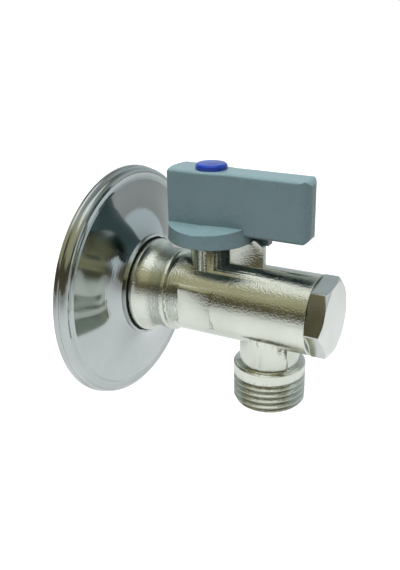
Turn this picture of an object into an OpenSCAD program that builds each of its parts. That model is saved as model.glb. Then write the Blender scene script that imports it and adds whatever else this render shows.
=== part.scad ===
// Filtered quarter-turn stop tap with a wall rosette.
// +X runs from the wall along the tube, +Z is up along the stem,
// and the origin is where the tube's axis meets the wall.

/* [Layout] */
// Wall to the front end of the tube
reach = 62.7; // [60:0.1:80]
// Wall to the stem axis
stem_x = 30.2; // [29:0.1:34]
// Stem axis to the outlet axis
outlet_pitch = 18.3; // [18:0.1:22]
// Tube axis to the end of the outlet
outlet_drop = 29.15; // [26:0.05:40]
// Inlet thread behind the wall
inlet_tail = 8; // [6:0.5:15]

/* [Body] */
// Outside diameter of the tube
tube_d = 22.8; // [22.4:0.1:27.4]
// Diameter of the collar that the rosette slides on
collar_d = 28.2; // [27:0.1:33.8]
// Rear face of the collar, from the wall
collar_back = 6; // [4:0.1:6.5]
// Front end of the collar's cylinder, from the wall
collar_front = 11; // [10.4:0.1:12]
// Where the cone in front of the collar ends
cone_end = 15.2; // [14:0.1:16]
// Diameter of the band in front of the cone
band_d = 24.1; // [23.6:0.1:26]
// Height of the bead at the end of the band
bead_h = 0.25; // [0.1:0.05:0.5]
// Width of the wrench pads along the tube
pad_w = 9.9; // [8:0.1:12]
// Height of the wrench pads
pad_h = 10; // [8:0.1:12]
// Distance over the two wrench pads
pad_over = 23; // [22.6:0.1:25]
// Draft of the pads' upper and lower sides
pad_draft = 0.6; // [0.3:0.1:0.9]

/* [Threads] */
// Outside diameter of the G1/2 threads
pipe_thread_d = 20.955; // [20.8:0.005:21]
// Length of the outlet's threaded end with its collar
outlet_thread_l = 12.55; // [11:0.05:16]
// Nominal diameter of the plug thread
plug_thread_d = 19; // [18.6:0.1:19.2]
// Length of the plug thread
plug_thread_l = 5.2; // [4:0.1:6]

/* [Waterways] */
// Diameter of the inlet bore
inlet_bore = 10.5; // [8:0.1:12]
// Diameter of the outlet bore
outlet_bore = 13; // [10:0.1:14]
// Outside diameter of the outlet neck
outlet_neck_d = 17.5; // [16.5:0.1:19]
// Diameter of the filter chamber
chamber_d = 18; // [17.6:0.1:18.2]

/* [Ball and seats] */
// Diameter of the ball
ball_d = 16; // [13.3:0.1:16.2]
// Diameter of the way through the ball
ball_bore = 9.5; // [8:0.1:9.6]
// Thickness of a seat ring along the tube
seat_t = 2.8; // [2.5:0.1:3]
// Depth of the seat retainer's nose
nose_l = 2.4; // [2.2:0.1:3]
// Length of the seat retainer's threaded part
retainer_l = 3.4; // [3:0.1:4]
// Spanner slot in the seat retainer
key_w = 2.2; // [1.5:0.1:3]

/* [Stem] */
// Diameter of the stem
stem_d = 8; // [7:0.1:8.4]
// Diameter of the stem's blow-out shoulder
shoulder_d = 9.8; // [9.2:0.1:10]
// Square on top of the stem, over its flats
square_af = 6.4; // [5:0.1:6.6]
// Top of the stem above the tube axis
stem_top = 29; // [27:0.1:31]
// Outside diameter of the neck round the stem
neck_d = 12.4; // [12:0.1:14]
// Thickness of a stem seal
o_ring_t = 1.4; // [1:0.1:1.6]
// Thickness of the tang in the ball's slot
tang_t = 4; // [3:0.1:5]
// Depth of the ball's slot
slot_depth = 2.6; // [2:0.1:3]

/* [Stop rib] */
// Thickness of the rib in front of the neck
rib_t = 2.2; // [1.6:0.1:3]
// Stem axis to the front end of the rib
rib_reach = 16.2; // [15.5:0.1:17]
// Top of the rib where the handle's skirt passes over it
rib_low = 17.8; // [16:0.1:17.9]
// Top of the rib in front of the skirt
rib_high = 19; // [18.2:0.1:19.6]

/* [Handle] */
// Stem axis to the tip of the lever
lever_reach = 30.2; // [26:0.1:40]
// Thickness of the lever
lever_t = 8.4; // [7.8:0.1:9]
// Underside of the lever above the tube axis
lever_low = 20.8; // [20.4:0.1:22]
// Top of the handle above the tube axis
handle_top = 38; // [37:0.1:42]
// Distance over the flats of the hub
hub_flats = 11; // [10.8:0.1:12]
// Diameter of the hub
hub_d = 24.8; // [24.4:0.1:25]
// Stem axis to where the hub starts to narrow
hub_end = -0.8; // [-3:0.1:2]
// Stem axis to where the lever starts
lever_start = 6.1; // [5:0.1:9]
// Diameter of the skirt at its lower edge
skirt_d = 25.4; // [25:0.1:26]
// Lower edge of the skirt above the tube axis
skirt_low = 18.15; // [18.1:0.05:18.6]
// Height of the skirt
skirt_h = 4.1; // [3.6:0.05:4.4]
// Wall of the skirt
skirt_wall = 1.5; // [1.2:0.1:1.6]
// Radius of the handle's long edges
edge_r = 0.9; // [0.5:0.1:1.5]
// Radius of the lever's upright corners at its tip
tip_r = 3.2; // [1.5:0.1:3.6]
// Radius of the lever's tip seen from the side
tip_side_r = 2; // [1:0.1:4]
// Wall round the hollows under the lever
core_wall = 1.8; // [1.4:0.1:2.2]
// Diameter of the button
button_d = 9; // [8:0.1:9.6]
// Height of the button above the handle
button_h = 1.7; // [1:0.1:2.5]

/* [Filter plug] */
// Distance over the flats of the plug's hexagon
plug_af = 20; // [18:0.1:22]
// Length of the plug's hexagon
plug_hex_l = 5; // [4:0.1:8]
// Turn of the hexagon about the tube axis
plug_turn = 7.8; // [0:0.1:60]
// Thickness of the plug's seal
plug_ring_t = 1.5; // [1.2:0.1:1.6]

/* [Filter cartridge] */
// Outside diameter of the filter cage
cage_d = 12; // [11.4:0.1:12.2]
// Outside diameter of the screen
screen_d = 10.2; // [9.8:0.1:10.4]
// Wall of the screen
screen_wall = 0.2; // [0.15:0.05:0.3]
// Number of ribs of the cage
cage_ribs = 4; // [3:1:6]
// Diameter of the screen's holes
mesh_hole = 1; // [0.8:0.1:1.2]
// Number of holes round the screen
mesh_around = 12; // [8:1:16]
// Distance from one ring of holes to the next
mesh_pitch = 1.5; // [1.4:0.1:2]

/* [Rosette] */
// Diameter of the rosette
rosette_d = 70.8; // [60:0.1:85]
// Depth of the rosette at its neck
rosette_depth = 9.3; // [9.2:0.1:9.6]
// Depth of the rosette's rim
rim_depth = 3.8; // [3:0.1:4.5]
// Width of the rim, from the outside to the dish
rim_w = 4; // [3.4:0.1:5]
// Thickness of the sheet
sheet = 0.7; // [0.5:0.05:1]

/* [Fits] */
// Clearance of parts that turn or slide in each other
run_gap = 0.1; // [0.05:0.01:0.2]
// Clearance of parts that only pass each other
free_gap = 0.2; // [0.1:0.05:0.3]
// Clearance of the ball on its seats
seat_gap = 0.03; // [0.01:0.01:0.05]

/* [Hidden] */
$fn = 72;

brass = "#c9bf9f";
plated = "#c2c1b4";
chrome = "#c8ccd0";
plastic = "#5f7a80";
rubber = "#202020";
ptfe = "#f2f2ee";
steel = "#b4b6b8";

outlet_x = stem_x + outlet_pitch;
tube_r = tube_d / 2;
collar_r = collar_d / 2;
band_r = band_d / 2;
thread_r = pipe_thread_d / 2;
thread_chamfer = 0.9;
undercut = 1.3;
groove_w = 0.7;
groove_x = stem_x - 10.2;
bead_w = 1.6;
edge_break = 0.3;

// Ball cavity, seats and retainer, from the ball outwards
ball_r = ball_d / 2;
cavity_r = ball_r + 0.4;
seat_near = sqrt(pow(ball_r, 2) - pow(ball_r * 0.78, 2));
seat_back = seat_near + seat_t;
seat_bore_r = ball_bore / 2 + 0.15;
nose_end = seat_back + nose_l;
retainer_end = nose_end + retainer_l;
retainer_r = chamber_d / 2 - run_gap;
nose_groove = o_ring_t - 0.1;

// Front end of the tube, from the mouth inwards
plug_thread_r = plug_thread_d / 2;
ring_seat_r = plug_thread_r + 0.4;
ring_seat_l = plug_ring_t + 0.3;
thread_start = reach - ring_seat_l - plug_thread_l - 0.7;

// Stem and neck
neck_top = 20.1;
stem_r = stem_d / 2;
stem_bore_r = stem_r + 0.15;
shoulder_low = ball_r + 0.4;
shoulder_t = 1.4;
washer_t = 0.6;
pocket_top = shoulder_low + shoulder_t + washer_t + 0.1;
o_ring_low_z = pocket_top + 2.4;
o_ring_high_z = o_ring_low_z + 3;
o_groove = o_ring_t + 0.3;
o_ring_r = stem_bore_r - o_ring_t / 2 - 0.04;

// Handle
skirt_r = skirt_d / 2;
skirt_top = skirt_low + skirt_h;
cavity_top = skirt_top - 1.5;
ledge_rise = 0.75;
socket_top = stem_top + 0.3;
screw_seat = socket_top + 2.4;
button_pocket_r = button_d / 2 - 0.3;
stop_gap = 0.25;
tooth_w = 2.8;
tooth_low = 17.3;
core_top = handle_top - 3;

// Screw, washer and button
screw_r = 2;
head_r = 3.6;
head_h = 2.2;
spring_t = 0.6;

// Filter cartridge and plug
cage_r = cage_d / 2;
cage_seat_r = cage_r + free_gap;
cage_start = stem_x + retainer_end - 1.8;
cage_cap_r = cage_r + 0.4;
socket_r = cage_cap_r + free_gap;
socket_floor = reach - 2.6;
cage_end = socket_floor - free_gap;
cap_t = 1.5;
screen_r = screen_d / 2;
screen_start = cage_start + 0.4;
screen_end = cage_end - cap_t - 0.1;
spigot_end = thread_start + 0.6;
hex_corner_r = plug_af / sqrt(3);

// Rosette
rosette_r = rosette_d / 2;
dish_r = rosette_r - rim_w;
neck_l = 1;
grip_t = 1;
neck_hole_r = collar_r + grip_t / 2 + 0.02;
neck_lip_r = neck_hole_r + sheet;
grip_groove_r = collar_r - grip_t / 2 - 0.05;
grip_x = rosette_depth - neck_l + 0.1;

// A solid turned about the tube axis, from points [radius, distance from the wall]
module turned_x(points) {
    rotate([0, 90, 0]) rotate_extrude() polygon(points);
}

// A ring of round section about an axis along Z
module o_ring(mid_r, section_r) {
    rotate_extrude() translate([mid_r, 0]) circle(section_r, $fn = 24);
}

// A bar along X with its four long edges rounded
module rounded_bar(x0, x1, w, z0, z1, r) {
    translate([x0, 0, 0]) rotate([90, 0, 90]) linear_extrude(x1 - x0) {
        translate([-w / 2 + r, z0]) square([w - 2 * r, z1 - z0]);
        translate([-w / 2, z0 + r]) square([w, z1 - z0 - 2 * r]);
        for (y = [-w / 2 + r, w / 2 - r], z = [z0 + r, z1 - r])
            translate([y, z]) circle(r, $fn = 32);
    }
}

// Outside of the tube, its collar and the inlet thread
module tube_outside() {
    turned_x([
        [0, -inlet_tail],
        [thread_r - thread_chamfer, -inlet_tail],
        [thread_r, -inlet_tail + thread_chamfer],
        [thread_r, collar_back - undercut - 0.5],
        [thread_r - undercut, collar_back - undercut],
        [thread_r - undercut, collar_back],
        [collar_r - edge_break, collar_back],
        [collar_r, collar_back + edge_break],
        [collar_r, collar_front - edge_break],
        [collar_r - edge_break, collar_front],
        for (t = [0:0.25:1]) [band_r + (collar_r - 0.9 - band_r) * pow(1 - t, 2),
            collar_front + 0.25 + t * (cone_end - collar_front - 0.25)],
        [band_r, groove_x - bead_w - 0.3],
        [band_r + bead_h, groove_x - bead_w],
        [band_r + bead_h, groove_x - edge_break],
        [band_r + bead_h - edge_break, groove_x],
        [tube_r - 0.35, groove_x],
        [tube_r - 0.35, groove_x + groove_w],
        [tube_r, groove_x + groove_w + 0.3],
        [tube_r, reach - edge_break],
        [tube_r - edge_break, reach],
        [0, reach]]);
}

// Outside of the outlet, from points [radius, height]
module outlet_outside() {
    shoulder_z = -outlet_drop + outlet_thread_l;
    translate([outlet_x, 0, 0]) rotate_extrude() polygon([
        [0, 0],
        [outlet_neck_d / 2, 0],
        [outlet_neck_d / 2, shoulder_z],
        [thread_r - 0.6, shoulder_z],
        [thread_r, shoulder_z - 0.6],
        [thread_r, -outlet_drop + thread_chamfer],
        [thread_r - thread_chamfer, -outlet_drop],
        [0, -outlet_drop]]);
}

// One flat wrench pad with sloping sides, on the side of the tube that y_side gives
module wrench_pad(y_side) {
    root_y = -tube_r * 0.7;
    face_y = -pad_over / 2;
    draft_z = pad_draft * (root_y - face_y);
    draft_x = 0.25 * (root_y - face_y);
    x0 = stem_x - pad_w / 2 - 0.4;
    mirror([0, y_side < 0 ? 0 : 1, 0]) intersection() {
        translate([x0 - draft_x, 0, 0]) rotate([90, 0, 90]) linear_extrude(pad_w + 2 * draft_x)
            polygon([[face_y, -pad_h / 2], [face_y, pad_h / 2],
                [root_y, pad_h / 2 + draft_z], [root_y, -pad_h / 2 - draft_z]]);
        translate([0, 0, -pad_h]) linear_extrude(2 * pad_h)
            polygon([[x0, face_y], [x0 + pad_w, face_y],
                [x0 + pad_w + draft_x, root_y], [x0 - draft_x, root_y]]);
    }
}

// Upright rib in front of the neck, which stops the handle at both ends of its travel
module stop_rib() {
    passing_r = skirt_r - skirt_wall - 0.4;
    clear_r = skirt_r + 0.5;
    translate([stem_x, rib_t / 2, 0]) rotate([90, 0, 0]) linear_extrude(rib_t)
        polygon([[0, 0], [rib_reach, 0],
            [rib_reach, rib_low - 0.6], [rib_reach - 0.5, rib_low],
            [clear_r + 0.9, rib_high], [clear_r + 0.2, rib_high],
            [clear_r, rib_low], [passing_r, rib_low],
            [passing_r, neck_top], [0, neck_top]]);
}

// Main bore with the seat for the inlet ring, the ball cavity, the chamber and the mouth
module main_bore() {
    seat_x = stem_x - seat_back;
    turned_x([
        [0, -inlet_tail - 1],
        [inlet_bore / 2 + 1, -inlet_tail - 1],
        [inlet_bore / 2 + 1, -inlet_tail],
        [inlet_bore / 2, -inlet_tail + 1],
        [inlet_bore / 2, seat_x],
        [cavity_r, seat_x],
        [cavity_r, stem_x + nose_end],
        [chamber_d / 2, stem_x + nose_end],
        [chamber_d / 2, thread_start],
        [plug_thread_r, thread_start + plug_thread_r - chamber_d / 2],
        [plug_thread_r, reach - ring_seat_l],
        [ring_seat_r, reach - ring_seat_l + 0.2],
        [ring_seat_r, reach + 1],
        [0, reach + 1]]);
}

module body() color(plated) difference() {
    union() {
        tube_outside();
        outlet_outside();
        wrench_pad(-1);
        wrench_pad(1);
        translate([stem_x, 0, 0]) cylinder(r = neck_d / 2, h = neck_top);
        stop_rib();
    }
    main_bore();
    translate([outlet_x, 0, -outlet_drop - 1]) cylinder(r = outlet_bore / 2, h = outlet_drop + 1);
    translate([outlet_x, 0, -outlet_drop])
        cylinder(r1 = outlet_bore / 2 + 0.6, r2 = outlet_bore / 2 - 0.1, h = 0.7);
    translate([stem_x, 0, 0]) {
        cylinder(r = stem_bore_r, h = neck_top + 1);
        cylinder(r = shoulder_d / 2 + free_gap, h = pocket_top);
    }
    turned_x([[grip_groove_r, grip_x - grip_t / 2 - 0.1], [collar_r + 1, grip_x - grip_t / 2 - 0.1],
        [collar_r + 1, grip_x + grip_t / 2 + 0.1], [grip_groove_r, grip_x + grip_t / 2 + 0.1]]);
}

// Outside line of the rosette as [radius, distance from the wall], rim first
function dish_point(t) = [dish_r - t * (dish_r - neck_lip_r),
    rim_depth + (rosette_depth - neck_l - rim_depth) * (0.45 * t + 0.55 * pow(t, 4))];

function rim_line() = concat(
    [[rosette_r, 0], [rosette_r, 0.6], [rosette_r - 0.2, 1], [rosette_r - 0.55, 1.25],
        [rosette_r - 0.45, 1.5]],
    [for (a = [0:15:90]) [rosette_r - 2 + 1.6 * cos(a), rim_depth - 1.7 + 1.6 * sin(a)]],
    [[dish_r + 1.2, rim_depth - 0.25], [dish_r + 0.6, rim_depth - 0.3]]);

function rosette_line() = concat(rim_line(), [for (i = [0:24]) dish_point(i / 24)],
    [[neck_lip_r, rosette_depth]]);

// The same line set in by the thickness of the sheet
function set_in(line) = [for (i = [0:len(line) - 1])
    let (a = line[max(i - 1, 0)], b = line[min(i + 1, len(line) - 1)],
        d = (b - a) / norm(b - a))
    line[i] - sheet * [d[1], -d[0]]];

module rosette() color(chrome) {
    outside = rosette_line();
    inside = set_in(outside);
    turned_x(concat(outside, [for (i = [len(inside) - 1:-1:0]) inside[i]]));
}

module rosette_grip_ring() color(rubber)
    translate([grip_x, 0, 0]) rotate([0, 90, 0]) o_ring(collar_r, grip_t / 2);

// Seat ring that faces the ball, with its back at seat_back from the stem axis
module seat_ring() difference() {
    rotate([0, 90, 0]) difference() {
        translate([0, 0, seat_near]) cylinder(r = cavity_r - run_gap, h = seat_t);
        cylinder(r = seat_bore_r, h = seat_back + 1);
    }
    sphere(r = ball_r + seat_gap);
}

module inlet_seat() color(ptfe) translate([stem_x, 0, 0]) mirror([1, 0, 0]) seat_ring();

module outlet_seat() color(ptfe) translate([stem_x, 0, 0]) seat_ring();

module ball() color(steel) translate([stem_x, 0, 0]) difference() {
    sphere(r = ball_r);
    rotate([0, 90, 0]) cylinder(r = ball_bore / 2, h = ball_d + 2, center = true);
    translate([-(tang_t + free_gap) / 2, -ball_r - 1, ball_r - slot_depth])
        cube([tang_t + free_gap, ball_d + 2, slot_depth + 1]);
}

module seat_retainer() color(brass) difference() {
    turned_x([
        [seat_bore_r, stem_x + seat_back],
        [cavity_r - run_gap, stem_x + seat_back],
        [cavity_r - run_gap, stem_x + seat_back + 0.6],
        [cavity_r - o_ring_t + 0.1, stem_x + seat_back + 0.6],
        [cavity_r - o_ring_t + 0.1, stem_x + seat_back + 0.6 + nose_groove],
        [cavity_r - run_gap, stem_x + seat_back + 0.6 + nose_groove],
        [cavity_r - run_gap, stem_x + nose_end],
        [retainer_r, stem_x + nose_end],
        [retainer_r, stem_x + retainer_end - edge_break],
        [retainer_r - edge_break, stem_x + retainer_end],
        [cage_seat_r, stem_x + retainer_end],
        [cage_seat_r, cage_start - free_gap],
        [seat_bore_r, cage_start - free_gap]]);
    translate([stem_x + retainer_end - 1.2, -retainer_r - 1, -key_w / 2])
        cube([2, 2 * retainer_r + 2, key_w]);
}

module retainer_o_ring() color(rubber)
    translate([stem_x + seat_back + 0.6 + nose_groove / 2, 0, 0]) rotate([0, 90, 0])
        o_ring(cavity_r - 0.65, 0.6);

module stem() color(brass) translate([stem_x, 0, 0]) difference() {
    union() {
        intersection() {
            translate([-tang_t / 2, -shoulder_d / 2, ball_r - slot_depth + free_gap])
                cube([tang_t, shoulder_d, slot_depth + 1]);
            cylinder(r = shoulder_d / 2, h = shoulder_low + 1);
        }
        translate([0, 0, shoulder_low]) cylinder(r = shoulder_d / 2, h = shoulder_t);
        rotate_extrude() polygon([
            [0, shoulder_low],
            [stem_r, shoulder_low],
            [stem_r, o_ring_low_z - o_groove / 2],
            [o_ring_r - o_ring_t / 2, o_ring_low_z - o_groove / 2],
            [o_ring_r - o_ring_t / 2, o_ring_low_z + o_groove / 2],
            [stem_r, o_ring_low_z + o_groove / 2],
            [stem_r, o_ring_high_z - o_groove / 2],
            [o_ring_r - o_ring_t / 2, o_ring_high_z - o_groove / 2],
            [o_ring_r - o_ring_t / 2, o_ring_high_z + o_groove / 2],
            [stem_r, o_ring_high_z + o_groove / 2],
            [stem_r, neck_top],
            [stem_r - 0.3, neck_top + 0.3],
            [0, neck_top + 0.3]]);
        intersection() {
            translate([-square_af / 2, -square_af / 2, neck_top])
                cube([square_af, square_af, stem_top - neck_top]);
            cylinder(r = stem_r, h = stem_top);
        }
    }
    translate([0, 0, stem_top - 7]) cylinder(r = screw_r + 0.05, h = 8);
}

module stem_thrust_washer() color(ptfe)
    translate([stem_x, 0, shoulder_low + shoulder_t + 0.05]) difference() {
        cylinder(r = shoulder_d / 2 + 0.1, h = washer_t);
        translate([0, 0, -1]) cylinder(r = stem_r + 0.1, h = washer_t + 2);
    }

module stem_o_ring_lower() color(rubber)
    translate([stem_x, 0, o_ring_low_z]) o_ring(o_ring_r, o_ring_t / 2);

module stem_o_ring_upper() color(rubber)
    translate([stem_x, 0, o_ring_high_z]) o_ring(o_ring_r, o_ring_t / 2);

// Round skirt under the hub, its top sloping outwards on both sides
module skirt() {
    top_r = skirt_r - 0.3;
    foot_z = skirt_top + ledge_rise;
    intersection() {
        rotate_extrude() polygon([
            [0, skirt_low + 1],
            [skirt_r - skirt_wall, skirt_low],
            [skirt_r - 0.3, skirt_low],
            [skirt_r, skirt_low + 0.3],
            [top_r, skirt_top],
            [top_r, foot_z],
            [0, foot_z]]);
        translate([-skirt_d, 0, 0]) rotate([90, 0, 90]) linear_extrude(2 * skirt_d)
            polygon([[-skirt_r, 0], [skirt_r, 0], [skirt_r, skirt_top - 0.3],
                [top_r - 0.2, skirt_top], [hub_flats / 2 - 0.3, foot_z],
                [0.3 - hub_flats / 2, foot_z], [0.2 - top_r, skirt_top], [-skirt_r, skirt_top - 0.3]]);
    }
}

// Broad bar whose one side is the slanted side between the hub's flat and the lever's
module slanted_side(side) {
    turn = atan((hub_flats - lever_t) / 2 / (lever_start - hub_end));
    mirror([0, side < 0 ? 1 : 0, 0]) translate([hub_end, -hub_flats / 2, 0]) rotate([0, 0, turn])
        translate([0, hub_flats, 0])
            rounded_bar(-2 * hub_d, hub_d, 2 * hub_flats, skirt_low - 2, handle_top, edge_r);
}

// Hub with two flats, round at the back and narrowing to the lever in front
module hub() {
    low = skirt_low + 1;
    intersection() {
        rotate_extrude() translate([0, low]) {
            square([hub_d / 2, handle_top - edge_r - low]);
            square([hub_d / 2 - edge_r, handle_top - low]);
            translate([hub_d / 2 - edge_r, handle_top - edge_r - low]) circle(edge_r, $fn = 32);
        }
        rounded_bar(-hub_d, lever_start + 1.5, hub_flats, skirt_low - 2, handle_top, edge_r);
        slanted_side(1);
        slanted_side(-1);
    }
}

// Straight lever with rounded long edges and a tip rounded both ways
module lever() {
    intersection() {
        rounded_bar(0, lever_reach, lever_t, lever_low, handle_top, edge_r);
        translate([0, 0, lever_low - 1]) linear_extrude(handle_top - lever_low + 2) {
            translate([-1, -lever_t / 2 - 1]) square([lever_reach - tip_r + 1, lever_t + 2]);
            translate([0, -lever_t / 2 + tip_r]) square([lever_reach, lever_t - 2 * tip_r]);
            for (y = [-1, 1]) translate([lever_reach - tip_r, y * (lever_t / 2 - tip_r)])
                circle(tip_r, $fn = 48);
        }
        translate([0, lever_t, 0]) rotate([90, 0, 0]) linear_extrude(2 * lever_t) {
            translate([0, lever_low]) square([lever_reach - tip_side_r, handle_top - lever_low]);
            translate([0, lever_low + tip_side_r])
                square([lever_reach, handle_top - lever_low - 2 * tip_side_r]);
            for (z = [lever_low + tip_side_r, handle_top - tip_side_r])
                translate([lever_reach - tip_side_r, z]) circle(tip_side_r, $fn = 48);
        }
    }
}

// Hollows that keep the lever's wall even, open at its underside
module lever_cores() {
    first = skirt_r + 3.4;
    last = lever_reach - core_wall - 0.8;
    step = (last - first + core_wall) / 2;
    for (i = [0, 1]) translate([first + i * step, -lever_t / 2 + core_wall, lever_low - 1])
        cube([step - core_wall, lever_t - 2 * core_wall, core_top - lever_low + 1]);
}

module handle() color(plastic) translate([stem_x, 0, 0]) difference() {
    union() {
        difference() {
            union() {
                skirt();
                hub();
                lever();
            }
            translate([0, 0, skirt_low - 1]) cylinder(r = skirt_r - skirt_wall,
                h = cavity_top - skirt_low + 1);
            lever_cores();
        }
        translate([skirt_r - 0.2, rib_t / 2 + stop_gap, tooth_low])
            cube([rib_reach + 0.6 - skirt_r + 0.2, tooth_w, lever_low + 1 - tooth_low]);
        intersection() {
            translate([-rib_t / 2 - stop_gap - tooth_w, -skirt_r + skirt_wall + 0.3, skirt_low + 0.2])
                cube([tooth_w, 3.2, cavity_top - skirt_low]);
            cylinder(r = skirt_r - skirt_wall - 0.1, h = handle_top);
        }
    }
    socket = square_af + 2 * run_gap;
    translate([-socket / 2, -socket / 2, skirt_low]) cube([socket, socket, socket_top - skirt_low]);
    cylinder(r = screw_r + free_gap, h = handle_top);
    translate([0, 0, screw_seat]) cylinder(r = button_pocket_r, h = handle_top);
}

module handle_screw() color(steel) translate([stem_x, 0, screw_seat + spring_t]) difference() {
    union() {
        translate([0, 0, -spring_t - screw_seat + stem_top - 5.5])
            cylinder(r = screw_r, h = screw_seat + spring_t - stem_top + 5.6);
        rotate_extrude() polygon([[0, 0], [head_r, 0], [head_r, head_h - 0.6],
            [head_r - 0.6, head_h], [0, head_h]]);
    }
    for (a = [0, 90]) rotate([0, 0, a])
        translate([-2, -0.45, head_h - 1.2]) cube([4, 0.9, 2]);
}

module spring_washer() color(steel) translate([stem_x, 0, screw_seat]) difference() {
    cylinder(r = head_r + 0.3, h = spring_t);
    translate([0, 0, -1]) cylinder(r = screw_r + 0.1, h = spring_t + 2);
    translate([0, -0.25, -1]) cube([head_r + 1, 0.5, spring_t + 2]);
}

// Domed cap with a hollow shank that snaps into the handle
module indicator_button() color("#1f55c8") translate([stem_x, 0, 0]) rotate_extrude() polygon(concat(
    [[0, handle_top + 0.4], [0, handle_top + button_h]],
    [for (a = [90:-15:0]) [button_d / 2 - 0.8 + 0.8 * cos(a), handle_top + button_h - 0.95 + 0.8 * sin(a)]],
    [[button_d / 2, handle_top], [button_pocket_r - run_gap, handle_top],
        [button_pocket_r - run_gap, handle_top - 2], [button_pocket_r - 0.8, handle_top - 2],
        [button_pocket_r - 0.8, handle_top + 0.4]]));

// Hexagon with rounded-off corners at the front, and the threaded spigot behind it
module filter_plug() color(plated) difference() {
    union() {
        intersection() {
            translate([reach, 0, 0]) rotate([0, 90, 0]) rotate([0, 0, 60 - plug_turn])
                cylinder(r = hex_corner_r, h = plug_hex_l, $fn = 6);
            turned_x([[0, reach], [hex_corner_r - 0.25, reach], [hex_corner_r + 0.1, reach + 0.2],
                [hex_corner_r + 0.1, reach + plug_hex_l - 0.95],
                [plug_af / 2, reach + plug_hex_l], [0, reach + plug_hex_l]]);
        }
        turned_x([
            [0, spigot_end],
            [plug_thread_r - 0.6, spigot_end],
            [plug_thread_r - run_gap, spigot_end + 0.5],
            [plug_thread_r - run_gap, reach - ring_seat_l - 0.1],
            [plug_thread_r - 1.2, reach - ring_seat_l - 0.1],
            [plug_thread_r - 1.2, reach + 0.2],
            [0, reach + 0.2]]);
    }
    turned_x([[0, spigot_end - 1], [socket_r, spigot_end - 1], [socket_r, socket_floor],
        [0, socket_floor]]);
}

module plug_o_ring() color(rubber) translate([reach - ring_seat_l / 2 + 0.05, 0, 0])
    rotate([0, 90, 0]) o_ring(ring_seat_r - 0.05 - plug_ring_t / 2, plug_ring_t / 2);

// Two end rings joined by ribs, the front one closed
module filter_cage() color("#e6e6e0") {
    turned_x([[screen_r + 0.05, cage_start], [cage_r, cage_start],
        [cage_r, cage_start + 2], [screen_r + 0.05, cage_start + 2]]);
    turned_x([[0, cage_end], [cage_cap_r, cage_end], [cage_cap_r, cage_end - 3.6],
        [screen_r + 0.05, cage_end - 3.6], [screen_r + 0.05, cage_end - cap_t], [0, cage_end - cap_t]]);
    for (i = [0:cage_ribs - 1]) rotate([360 * i / cage_ribs, 0, 0])
        translate([cage_start + 1, -0.8, screen_r + 0.1])
            cube([cage_end - cage_start - 3, 1.6, cage_r - screen_r - 0.2]);
}

module filter_screen() color("#a9acad") {
    rows = floor((screen_end - screen_start - 5) / mesh_pitch);
    difference() {
        turned_x([[screen_r - screen_wall, screen_start], [screen_r, screen_start],
            [screen_r, screen_end], [screen_r - screen_wall, screen_end]]);
        for (i = [0:rows - 1], k = [0:mesh_around - 1])
            rotate([360 * (k + 0.5 * (i % 2)) / mesh_around, 0, 0])
                translate([screen_start + 3 + i * mesh_pitch, 0, screen_r - screen_wall - 0.5])
                    cylinder(r = mesh_hole / 2, h = screen_wall + 1, $fn = 16);
    }
}

body();
rosette();
rosette_grip_ring();
inlet_seat();
ball();
outlet_seat();
seat_retainer();
retainer_o_ring();
stem();
stem_thrust_washer();
stem_o_ring_lower();
stem_o_ring_upper();
handle();
handle_screw();
spring_washer();
indicator_button();
filter_plug();
plug_o_ring();
filter_cage();
filter_screen();
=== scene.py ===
import math

import bmesh
import bpy
from mathutils import Matrix, Vector


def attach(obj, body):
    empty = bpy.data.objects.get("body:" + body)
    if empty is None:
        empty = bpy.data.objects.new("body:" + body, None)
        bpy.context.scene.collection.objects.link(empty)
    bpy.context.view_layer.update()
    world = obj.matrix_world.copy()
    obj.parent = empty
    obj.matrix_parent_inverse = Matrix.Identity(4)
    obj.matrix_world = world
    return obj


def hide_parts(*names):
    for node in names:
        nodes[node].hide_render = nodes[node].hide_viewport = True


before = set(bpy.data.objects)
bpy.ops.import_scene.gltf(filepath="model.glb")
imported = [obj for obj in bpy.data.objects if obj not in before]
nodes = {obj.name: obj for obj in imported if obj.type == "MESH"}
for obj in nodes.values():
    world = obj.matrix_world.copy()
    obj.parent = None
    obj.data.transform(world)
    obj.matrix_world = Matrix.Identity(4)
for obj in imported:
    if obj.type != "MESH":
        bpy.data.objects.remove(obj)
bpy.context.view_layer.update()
print("frame loaded:", len(nodes), "nodes")

mm = 0.001


# Node helpers for the materials.


def addNode(tree, kind, place, **values):  # values are node properties or named sockets
    node = tree.nodes.new(kind)
    node.location = place
    for name, value in values.items():
        if hasattr(node, name):
            setattr(node, name, value)
        else:
            node.inputs[name].default_value = value
    return node


def newGroup(name, inputs, outputs):
    group = bpy.data.node_groups.new(name, "ShaderNodeTree")
    for label, kind, value in inputs:
        socket = group.interface.new_socket(label, in_out="INPUT", socket_type=kind)
        socket.default_value = value
    for label, kind in outputs:
        group.interface.new_socket(label, in_out="OUTPUT", socket_type=kind)
    start = addNode(group, "NodeGroupInput", (-900, 0))
    end = addNode(group, "NodeGroupOutput", (700, 0))
    return group, start, end


def newMaterial(name, **constants):
    mat = bpy.data.materials.new(name)
    mat.use_nodes = True
    tree = mat.node_tree
    shader = tree.nodes["Principled BSDF"]
    for label, value in constants.items():
        shader.inputs[label.replace("_", " ")].default_value = value
    coords = addNode(tree, "ShaderNodeTexCoord", (-1200, 0))
    return mat, tree, shader, coords


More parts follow.
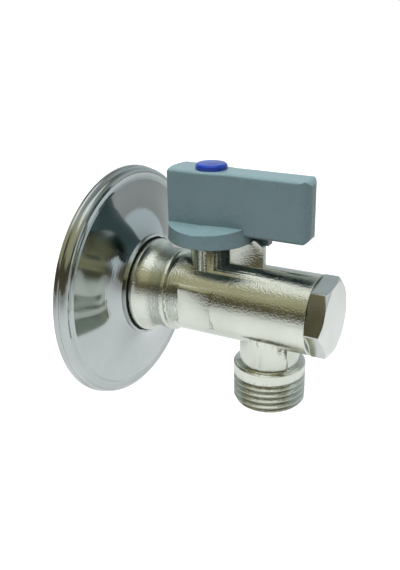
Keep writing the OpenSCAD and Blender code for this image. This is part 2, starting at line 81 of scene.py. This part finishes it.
# Fine grain: cast, sandblasted or moulded skin, as a height, a tint factor and a roughness change.
def buildGrain():
    group, start, end = newGroup(
        "surfaceGrain",
        [("Vector", "NodeSocketVector", (0, 0, 0)), ("Grain per metre", "NodeSocketFloat", 1500.0),
         ("Patch per metre", "NodeSocketFloat", 150.0), ("Roughness low", "NodeSocketFloat", 0.2),
         ("Roughness high", "NodeSocketFloat", 0.3)],
        [("Height", "NodeSocketFloat"), ("Patch", "NodeSocketFloat"), ("Roughness", "NodeSocketFloat")])
    link = group.links.new
    fine = addNode(group, "ShaderNodeTexNoise", (-600, 150), Detail=3.0)
    patch = addNode(group, "ShaderNodeTexNoise", (-600, -150), Detail=4.0)
    link(start.outputs["Vector"], fine.inputs["Vector"])
    link(start.outputs["Grain per metre"], fine.inputs["Scale"])
    link(start.outputs["Vector"], patch.inputs["Vector"])
    link(start.outputs["Patch per metre"], patch.inputs["Scale"])
    blend = addNode(group, "ShaderNodeMapRange", (-300, -200))
    blend.inputs["From Min"].default_value = 0.3
    blend.inputs["From Max"].default_value = 0.7
    link(patch.outputs["Fac"], blend.inputs["Value"])
    link(start.outputs["Roughness low"], blend.inputs["To Min"])
    link(start.outputs["Roughness high"], blend.inputs["To Max"])
    link(fine.outputs["Fac"], end.inputs["Height"])
    link(patch.outputs["Fac"], end.inputs["Patch"])
    link(blend.outputs["Result"], end.inputs["Roughness"])
    return group


grainGroup = buildGrain()


# edgeSoftness is the radius, in metres, of the fine rounding along a material's sharp edges
def grainyMaterial(name, colours, roughness, grain, patch, bumpHeight, bumpStrength, edgeSoftness=0,
                   **constants):
    mat, tree, shader, coords = newMaterial(name, **constants)
    skin = addNode(tree, "ShaderNodeGroup", (-900, 0))
    skin.node_tree = grainGroup
    skin.inputs["Grain per metre"].default_value = grain
    skin.inputs["Patch per metre"].default_value = patch
    skin.inputs["Roughness low"].default_value = roughness[0]
    skin.inputs["Roughness high"].default_value = roughness[1]
    ramp = addNode(tree, "ShaderNodeValToRGB", (-600, 200))
    ramp.color_ramp.elements[0].position, ramp.color_ramp.elements[1].position = 0.35, 0.65
    ramp.color_ramp.elements[0].color = (*colours[0], 1)
    ramp.color_ramp.elements[1].color = (*colours[1], 1)
    bump = addNode(tree, "ShaderNodeBump", (-300, -300), Strength=bumpStrength, Distance=bumpHeight)
    link = tree.links.new
    link(coords.outputs["Object"], skin.inputs["Vector"])
    link(skin.outputs["Patch"], ramp.inputs["Fac"])
    link(ramp.outputs["Color"], shader.inputs["Base Color"])
    link(skin.outputs["Roughness"], shader.inputs["Roughness"])
    link(skin.outputs["Height"], bump.inputs["Height"])
    link(bump.outputs["Normal"], shader.inputs["Normal"])
    if edgeSoftness > 0:
        edges = addNode(tree, "ShaderNodeBevel", (-600, -400), samples=6)
        edges.inputs["Radius"].default_value = edgeSoftness
        link(edges.outputs["Normal"], bump.inputs["Normal"])
    return mat


nickel = grainyMaterial("nickelForging", ((0.61, 0.65, 0.58), (0.70, 0.735, 0.665)), (0.10, 0.19), 1900, 90,
                        0.00011, 0.9, edgeSoftness=0.00014, Metallic=1.0)
plugNickel = grainyMaterial("nickelTurned", ((0.70, 0.75, 0.72), (0.76, 0.81, 0.78)), (0.10, 0.16), 2500, 120,
                            0.00002, 0.3, edgeSoftness=0.0004, Metallic=1.0)
chrome = grainyMaterial("chromeSheet", ((0.46, 0.505, 0.505), (0.51, 0.555, 0.555)), (0.07, 0.12), 800, 60,
                        0.00001, 0.2, Metallic=1.0)
handlePlastic = grainyMaterial("handlePlastic", ((0.098, 0.153, 0.164), (0.108, 0.166, 0.177)), (0.24, 0.32),
                               3000, 120, 0.00002, 0.3)
buttonPlastic = grainyMaterial("buttonPlastic", ((0.002, 0.017, 0.15), (0.003, 0.023, 0.20)), (0.07, 0.11),
                               2000, 150, 0.00001, 0.2)
rubber = grainyMaterial("sealRubber", ((0.012, 0.012, 0.012), (0.02, 0.02, 0.02)), (0.55, 0.7), 3000, 200,
                        0.00002, 0.4)
seatPlastic = grainyMaterial("seatPlastic", ((0.78, 0.78, 0.75), (0.84, 0.84, 0.82)), (0.3, 0.4), 2000, 200,
                             0.00001, 0.3)
cagePlastic = grainyMaterial("cagePlastic", ((0.68, 0.68, 0.63), (0.74, 0.74, 0.70)), (0.35, 0.45), 2500, 200,
                             0.00001, 0.3)
brass = grainyMaterial("turnedBrass", ((0.62, 0.45, 0.20), (0.70, 0.53, 0.26)), (0.22, 0.32), 2500, 150,
                       0.00002, 0.3, Metallic=1.0)
steel = grainyMaterial("brightSteel", ((0.50, 0.50, 0.50), (0.58, 0.58, 0.58)), (0.2, 0.3), 2500, 150,
                       0.00001, 0.3, Metallic=1.0)
print("materials made:", len(bpy.data.materials))


def setMaterial(obj, mat):
    obj.data.materials.clear()
    obj.data.materials.append(mat)


nodeFinish = {
    "rosette": chrome, "rosette_grip_ring": rubber, "inlet_seat": seatPlastic, "ball": chrome,
    "outlet_seat": seatPlastic, "seat_retainer": brass, "retainer_o_ring": rubber, "stem": brass,
    "stem_thrust_washer": seatPlastic, "stem_o_ring_lower": rubber, "stem_o_ring_upper": rubber,
    "handle": handlePlastic, "handle_screw": steel, "spring_washer": steel,
    "indicator_button": buttonPlastic, "filter_plug": plugNickel, "plug_o_ring": rubber,
    "filter_cage": cagePlastic, "filter_screen": steel, "body": nickel,
}
for nodeName, mat in nodeFinish.items():
    setMaterial(nodes[nodeName], mat)


# Body: the CAD forging with its two pipe threads cut as real helical grooves.

bodyLook = {
    "pitch": 1.814 * mm, "crest": 10.4775 * mm, "root": 9.40 * mm, "stepsPerTurn": 48,
    "outletX": 48.5 * mm, "outletEnd": -29.15 * mm, "outletTurns": 5.6,
    "inletEnd": -8.0 * mm, "inletTurns": 6.2, "creaseAngle": 32,
    "overCrest": 0.25 * mm,  # how far the groove's cutter stands out of the thread
    "grooveFloor": 0.18 * mm, "lead": 0.4 * mm,  # flat at the root, and start in front of the end face
    "runOut": 0.75, "leftInAir": 0.05 * mm,  # turns over which the groove fades, and where it ends
}


def mergedCopy(nodeName, pieceName):
    mesh = nodes[nodeName].data.copy()
    mesh.name = pieceName
    obj = bpy.data.objects.new(pieceName, mesh)
    bpy.context.scene.collection.objects.link(obj)
    work = bmesh.new()
    work.from_mesh(mesh)
    bmesh.ops.remove_doubles(work, verts=work.verts, dist=0.000002)
    bmesh.ops.dissolve_degenerate(work, edges=work.edges, dist=0.000001)
    work.to_mesh(mesh)
    work.free()
    return obj


def threadCutter(name, turns, look):
    # a V profile at the thread's open end, wound up the +Z axis
    work = bmesh.new()
    pitch, steps = look["pitch"], look["stepsPerTurn"]
    out, root = look["crest"] + look["overCrest"], look["root"]
    mouth, floor = pitch * 0.525, look["grooveFloor"] / 2
    profile = [(out, -mouth), (root, -floor), (root, floor), (out, mouth)]
    verts = [work.verts.new((r, 0, z)) for r, z in profile]
    edges = [work.edges.new((verts[i], verts[(i + 1) % 4])) for i in range(4)]
    bmesh.ops.spin(work, geom=verts + edges, cent=(0, 0, 0), axis=(0, 0, 1), dvec=(0, 0, pitch / steps),
                   angle=2 * math.pi * turns, steps=round(steps * turns), use_duplicate=False)
    bmesh.ops.remove_doubles(work, verts=work.verts, dist=0.0000005)
    openEdges = [e for e in work.edges if e.is_boundary]
    bmesh.ops.holes_fill(work, edges=openEdges, sides=4)
    # the groove runs out over the last part of a turn
    top, fade = pitch * turns, pitch * look["runOut"]
    for v in work.verts:
        run = (v.co.z - (top - fade)) / fade
        radius = math.hypot(v.co.x, v.co.y)
        if run > 0 and radius < out - 2 * look["leftInAir"]:
            grown = radius + min(run, 1) * (out - look["leftInAir"] - radius)
            v.co.x *= grown / radius
            v.co.y *= grown / radius
    bmesh.ops.recalc_face_normals(work, faces=work.faces)
    mesh = bpy.data.meshes.new(name)
    work.to_mesh(mesh)
    work.free()
    obj = bpy.data.objects.new(name, mesh)
    bpy.context.scene.collection.objects.link(obj)
    return obj


def cutAway(obj, cutter):
    mod = obj.modifiers.new("cut", "BOOLEAN")
    mod.operation, mod.solver, mod.object = "DIFFERENCE", "EXACT", cutter
    bpy.context.view_layer.update()
    cutMesh = bpy.data.meshes.new_from_object(obj.evaluated_get(bpy.context.evaluated_depsgraph_get()))
    obj.modifiers.clear()
    oldMesh, obj.data = obj.data, cutMesh
    bpy.data.meshes.remove(oldMesh)
    bpy.data.objects.remove(cutter, do_unlink=True)


def smoothByAngle(obj, degrees):
    obj.data.shade_smooth()
    obj.data.set_sharp_from_angle(angle=math.radians(degrees))
    even = obj.modifiers.new("evenNormals", "WEIGHTED_NORMAL")  # large faces set the shading
    even.keep_sharp = True


body = mergedCopy("body", "tapBody")
outletCutter = threadCutter("outletCutter", bodyLook["outletTurns"], bodyLook)
outletPlace = Vector((bodyLook["outletX"], 0, bodyLook["outletEnd"] - bodyLook["lead"]))
outletCutter.data.transform(Matrix.Translation(outletPlace))
cutAway(body, outletCutter)
inletCutter = threadCutter("inletCutter", bodyLook["inletTurns"], bodyLook)
inletCutter.data.transform(Matrix.Rotation(math.pi / 2, 4, "Y"))
inletCutter.data.transform(Matrix.Translation((bodyLook["inletEnd"] - bodyLook["lead"], 0, 0)))
cutAway(body, inletCutter)
smoothByAngle(body, bodyLook["creaseAngle"])
setMaterial(body, nickel)
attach(body, "tap")
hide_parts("body")
print("body threaded:", len(body.data.polygons), "faces")


# Plug: the CAD plug screwed up to where its hexagon stands in the photo.
plugLook = {"turn": -15.6, "creaseAngle": 20}

plug = mergedCopy("filter_plug", "hexagonPlug")
plug.data.transform(Matrix.Rotation(math.radians(plugLook["turn"]), 4, "X"))
smoothByAngle(plug, plugLook["creaseAngle"])
setMaterial(plug, plugNickel)
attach(plug, "plug")
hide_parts("filter_plug")
print("plug turned:", len(plug.data.polygons), "faces")


# Stage: pale floor, white surroundings, studio light and the camera.

stageLook = {
    "floorDrop": 120 * mm, "floorSize": 6.0, "floorTone": 0.45, "mirrorGlow": 0.15,
    "glowReach": (0.15, 0.9, 0.5, 0.95),  # distance from, to, and glow from, to
    "keyPower": 9.0, "keySize": 0.5, "keyPlace": (0.05, -0.10, 0.6), "keyAim": (0.035, 0, 0), "worldFill": 0.5,
}
cameraLook = {
    "azimuth": 26.06, "elevation": 20.51, "roll": -0.2, "distance": 202.46 * mm,
    "target": (37.11 * mm, 0, 12.03 * mm), "lens": 44.9, "shift": (-0.0602, -0.0435),
}


def makeFloor():
    work = bmesh.new()
    bmesh.ops.create_grid(work, x_segments=2, y_segments=2, size=stageLook["floorSize"] / 2)
    bmesh.ops.translate(work, verts=work.verts, vec=(0, 0, -stageLook["floorDrop"]))
    mesh = bpy.data.meshes.new("paleFloor")
    work.to_mesh(mesh)
    work.free()
    floor = bpy.data.objects.new("paleFloor", mesh)
    bpy.context.scene.collection.objects.link(floor)
    mat, tree, shader, coords = newMaterial("paleFloor", Roughness=0.8)
    shader.inputs["Base Color"].default_value = (*[stageLook["floorTone"]] * 3, 1)
    shader.inputs["Emission Color"].default_value = (1, 1, 1, 1)
    path = addNode(tree, "ShaderNodeLightPath", (-800, -300))
    seen = addNode(tree, "ShaderNodeMath", (-550, -200), operation="MULTIPLY")
    # the lamp's light fades with distance, so the glow grows to hold the floor white to its edge
    far = addNode(tree, "ShaderNodeVectorMath", (-1000, -100), operation="LENGTH")
    grow = addNode(tree, "ShaderNodeMapRange", (-800, -100))
    for label, value in zip(("From Min", "From Max", "To Min", "To Max"), stageLook["glowReach"]):
        grow.inputs[label].default_value = value
    tree.links.new(coords.outputs["Object"], far.inputs[0])
    tree.links.new(far.outputs["Value"], grow.inputs["Value"])
    tree.links.new(grow.outputs["Result"], seen.inputs[1])
    glow = addNode(tree, "ShaderNodeMath", (-300, -300), operation="MULTIPLY_ADD")
    glow.inputs[1].default_value = stageLook["mirrorGlow"]
    tree.links.new(path.outputs["Is Camera Ray"], seen.inputs[0])
    tree.links.new(path.outputs["Is Glossy Ray"], glow.inputs[0])
    tree.links.new(seen.outputs[0], glow.inputs[2])
    tree.links.new(glow.outputs[0], shader.inputs["Emission Strength"])
    setMaterial(floor, mat)
    return floor


# The studio as polished metal sees it: bands by height, one set in front and one behind.
# Each band is an elevation in degrees and the colour seen there.
frontBands = [
    (-90, (0.85, 0.90, 0.86)), (-5, (0.80, 0.84, 0.78)), (1, (0.12, 0.10, 0.06)),
    (20, (0.08, 0.07, 0.04)), (27, (0.40, 0.37, 0.23)), (55, (0.48, 0.45, 0.31)),
    (64, (1.1, 1.1, 1.06)), (90, (1.3, 1.3, 1.3)),
]
backBands = [
    (-90, (0.80, 0.86, 0.86)), (-40, (0.72, 0.77, 0.78)), (-8, (0.68, 0.74, 0.78)),
    (12, (0.56, 0.62, 0.64)), (34, (0.40, 0.43, 0.45)), (50, (0.18, 0.20, 0.17)),
    (62, (0.24, 0.25, 0.20)), (74, (1.0, 1.0, 0.98)), (90, (1.3, 1.3, 1.3)),
]


def bandRamp(tree, bands, place):
    ramp = addNode(tree, "ShaderNodeValToRGB", place)
    stops = ramp.color_ramp.elements
    while len(stops) > 1:
        stops.remove(stops[-1])
    for i, (angle, colour) in enumerate(bands):
        at = (angle + 90) / 180
        stop = stops[0] if i == 0 else stops.new(at)
        stop.position = at
        stop.color = (*colour, 1)
    return ramp


def makeWorld():
    world = bpy.data.worlds.new("studio")
    world.use_nodes = True
    tree = world.node_tree
    tree.nodes.clear()
    link = tree.links.new
    coords = addNode(tree, "ShaderNodeTexCoord", (-1400, 0))
    split = addNode(tree, "ShaderNodeSeparateXYZ", (-1200, 0))
    link(coords.outputs["Generated"], split.inputs[0])
    height = addNode(tree, "ShaderNodeMath", (-1000, 100), operation="ARCSINE")
    link(split.outputs["Z"], height.inputs[0])
    scaled = addNode(tree, "ShaderNodeMapRange", (-800, 100))
    scaled.inputs["From Min"].default_value = -math.pi / 2
    scaled.inputs["From Max"].default_value = math.pi / 2
    link(height.outputs[0], scaled.inputs["Value"])
    front = bandRamp(tree, frontBands, (-550, 200))
    back = bandRamp(tree, backBands, (-550, -100))
    link(scaled.outputs["Result"], front.inputs["Fac"])
    link(scaled.outputs["Result"], back.inputs["Fac"])
    side = addNode(tree, "ShaderNodeMapRange", (-800, -250), interpolation_type="SMOOTHSTEP")
    side.inputs["From Min"].default_value = -0.1
    side.inputs["From Max"].default_value = 0.15
    link(split.outputs["Y"], side.inputs["Value"])
    mix = addNode(tree, "ShaderNodeMix", (-250, 100), data_type="RGBA")
    link(side.outputs["Result"], mix.inputs["Factor"])
    link(front.outputs["Color"], mix.inputs["A"])
    link(back.outputs["Color"], mix.inputs["B"])
    mirror = addNode(tree, "ShaderNodeBackground", (0, 100))
    link(mix.outputs["Result"], mirror.inputs["Color"])
    fill = addNode(tree, "ShaderNodeBackground", (0, -100), Color=(1, 1, 1, 1), Strength=stageLook["worldFill"])
    white = addNode(tree, "ShaderNodeBackground", (0, -250), Color=(1, 1, 1, 1), Strength=1.0)
    path = addNode(tree, "ShaderNodeLightPath", (0, 400))
    shiny = addNode(tree, "ShaderNodeMixShader", (250, 50))
    link(path.outputs["Is Glossy Ray"], shiny.inputs["Fac"])
    link(fill.outputs[0], shiny.inputs[1])
    link(mirror.outputs[0], shiny.inputs[2])
    seen = addNode(tree, "ShaderNodeMath", (250, 300), operation="MAXIMUM")
    link(path.outputs["Is Camera Ray"], seen.inputs[0])
    link(path.outputs["Is Transmission Ray"], seen.inputs[1])
    final = addNode(tree, "ShaderNodeMixShader", (500, 50))
    link(seen.outputs[0], final.inputs["Fac"])
    link(shiny.outputs[0], final.inputs[1])
    link(white.outputs[0], final.inputs[2])
    end = addNode(tree, "ShaderNodeOutputWorld", (750, 50))
    link(final.outputs[0], end.inputs["Surface"])
    bpy.context.scene.world = world


def makeLight():
    data = bpy.data.lights.new("overheadSoftbox", "AREA")
    data.shape, data.size = "SQUARE", stageLook["keySize"]
    data.energy = stageLook["keyPower"]
    lamp = bpy.data.objects.new("overheadSoftbox", data)
    bpy.context.scene.collection.objects.link(lamp)
    lamp.location = stageLook["keyPlace"]
    aim = Vector(stageLook["keyAim"]) - lamp.location
    lamp.rotation_mode = "QUATERNION"
    lamp.rotation_quaternion = aim.to_track_quat("-Z", "Y")
    lamp.visible_glossy = False


def makeCamera():
    data = bpy.data.cameras.new("photoCamera")
    cam = bpy.data.objects.new("photoCamera", data)
    bpy.context.scene.collection.objects.link(cam)
    a, e, r = (math.radians(cameraLook[k]) for k in ("azimuth", "elevation", "roll"))
    back = Vector((math.sin(a) * math.cos(e), -math.cos(a) * math.cos(e), math.sin(e)))
    right = (-back).cross(Vector((0, 0, 1))).normalized()
    up = right.cross(-back)
    rolledRight = math.cos(r) * right + math.sin(r) * up
    rolledUp = math.cos(r) * up - math.sin(r) * right
    place = Vector(cameraLook["target"]) + back * cameraLook["distance"]
    turn = Matrix((rolledRight, rolledUp, back)).transposed().to_4x4()
    cam.matrix_world = Matrix.Translation(place) @ turn
    data.sensor_width = 36
    data.lens = cameraLook["lens"]
    data.shift_x, data.shift_y = cameraLook["shift"]
    data.clip_start, data.clip_end = 0.01, 20
    bpy.context.scene.camera = cam


makeFloor()
makeWorld()
makeLight()
makeCamera()
bpy.context.scene.view_settings.view_transform = "Standard"
print("stage set")
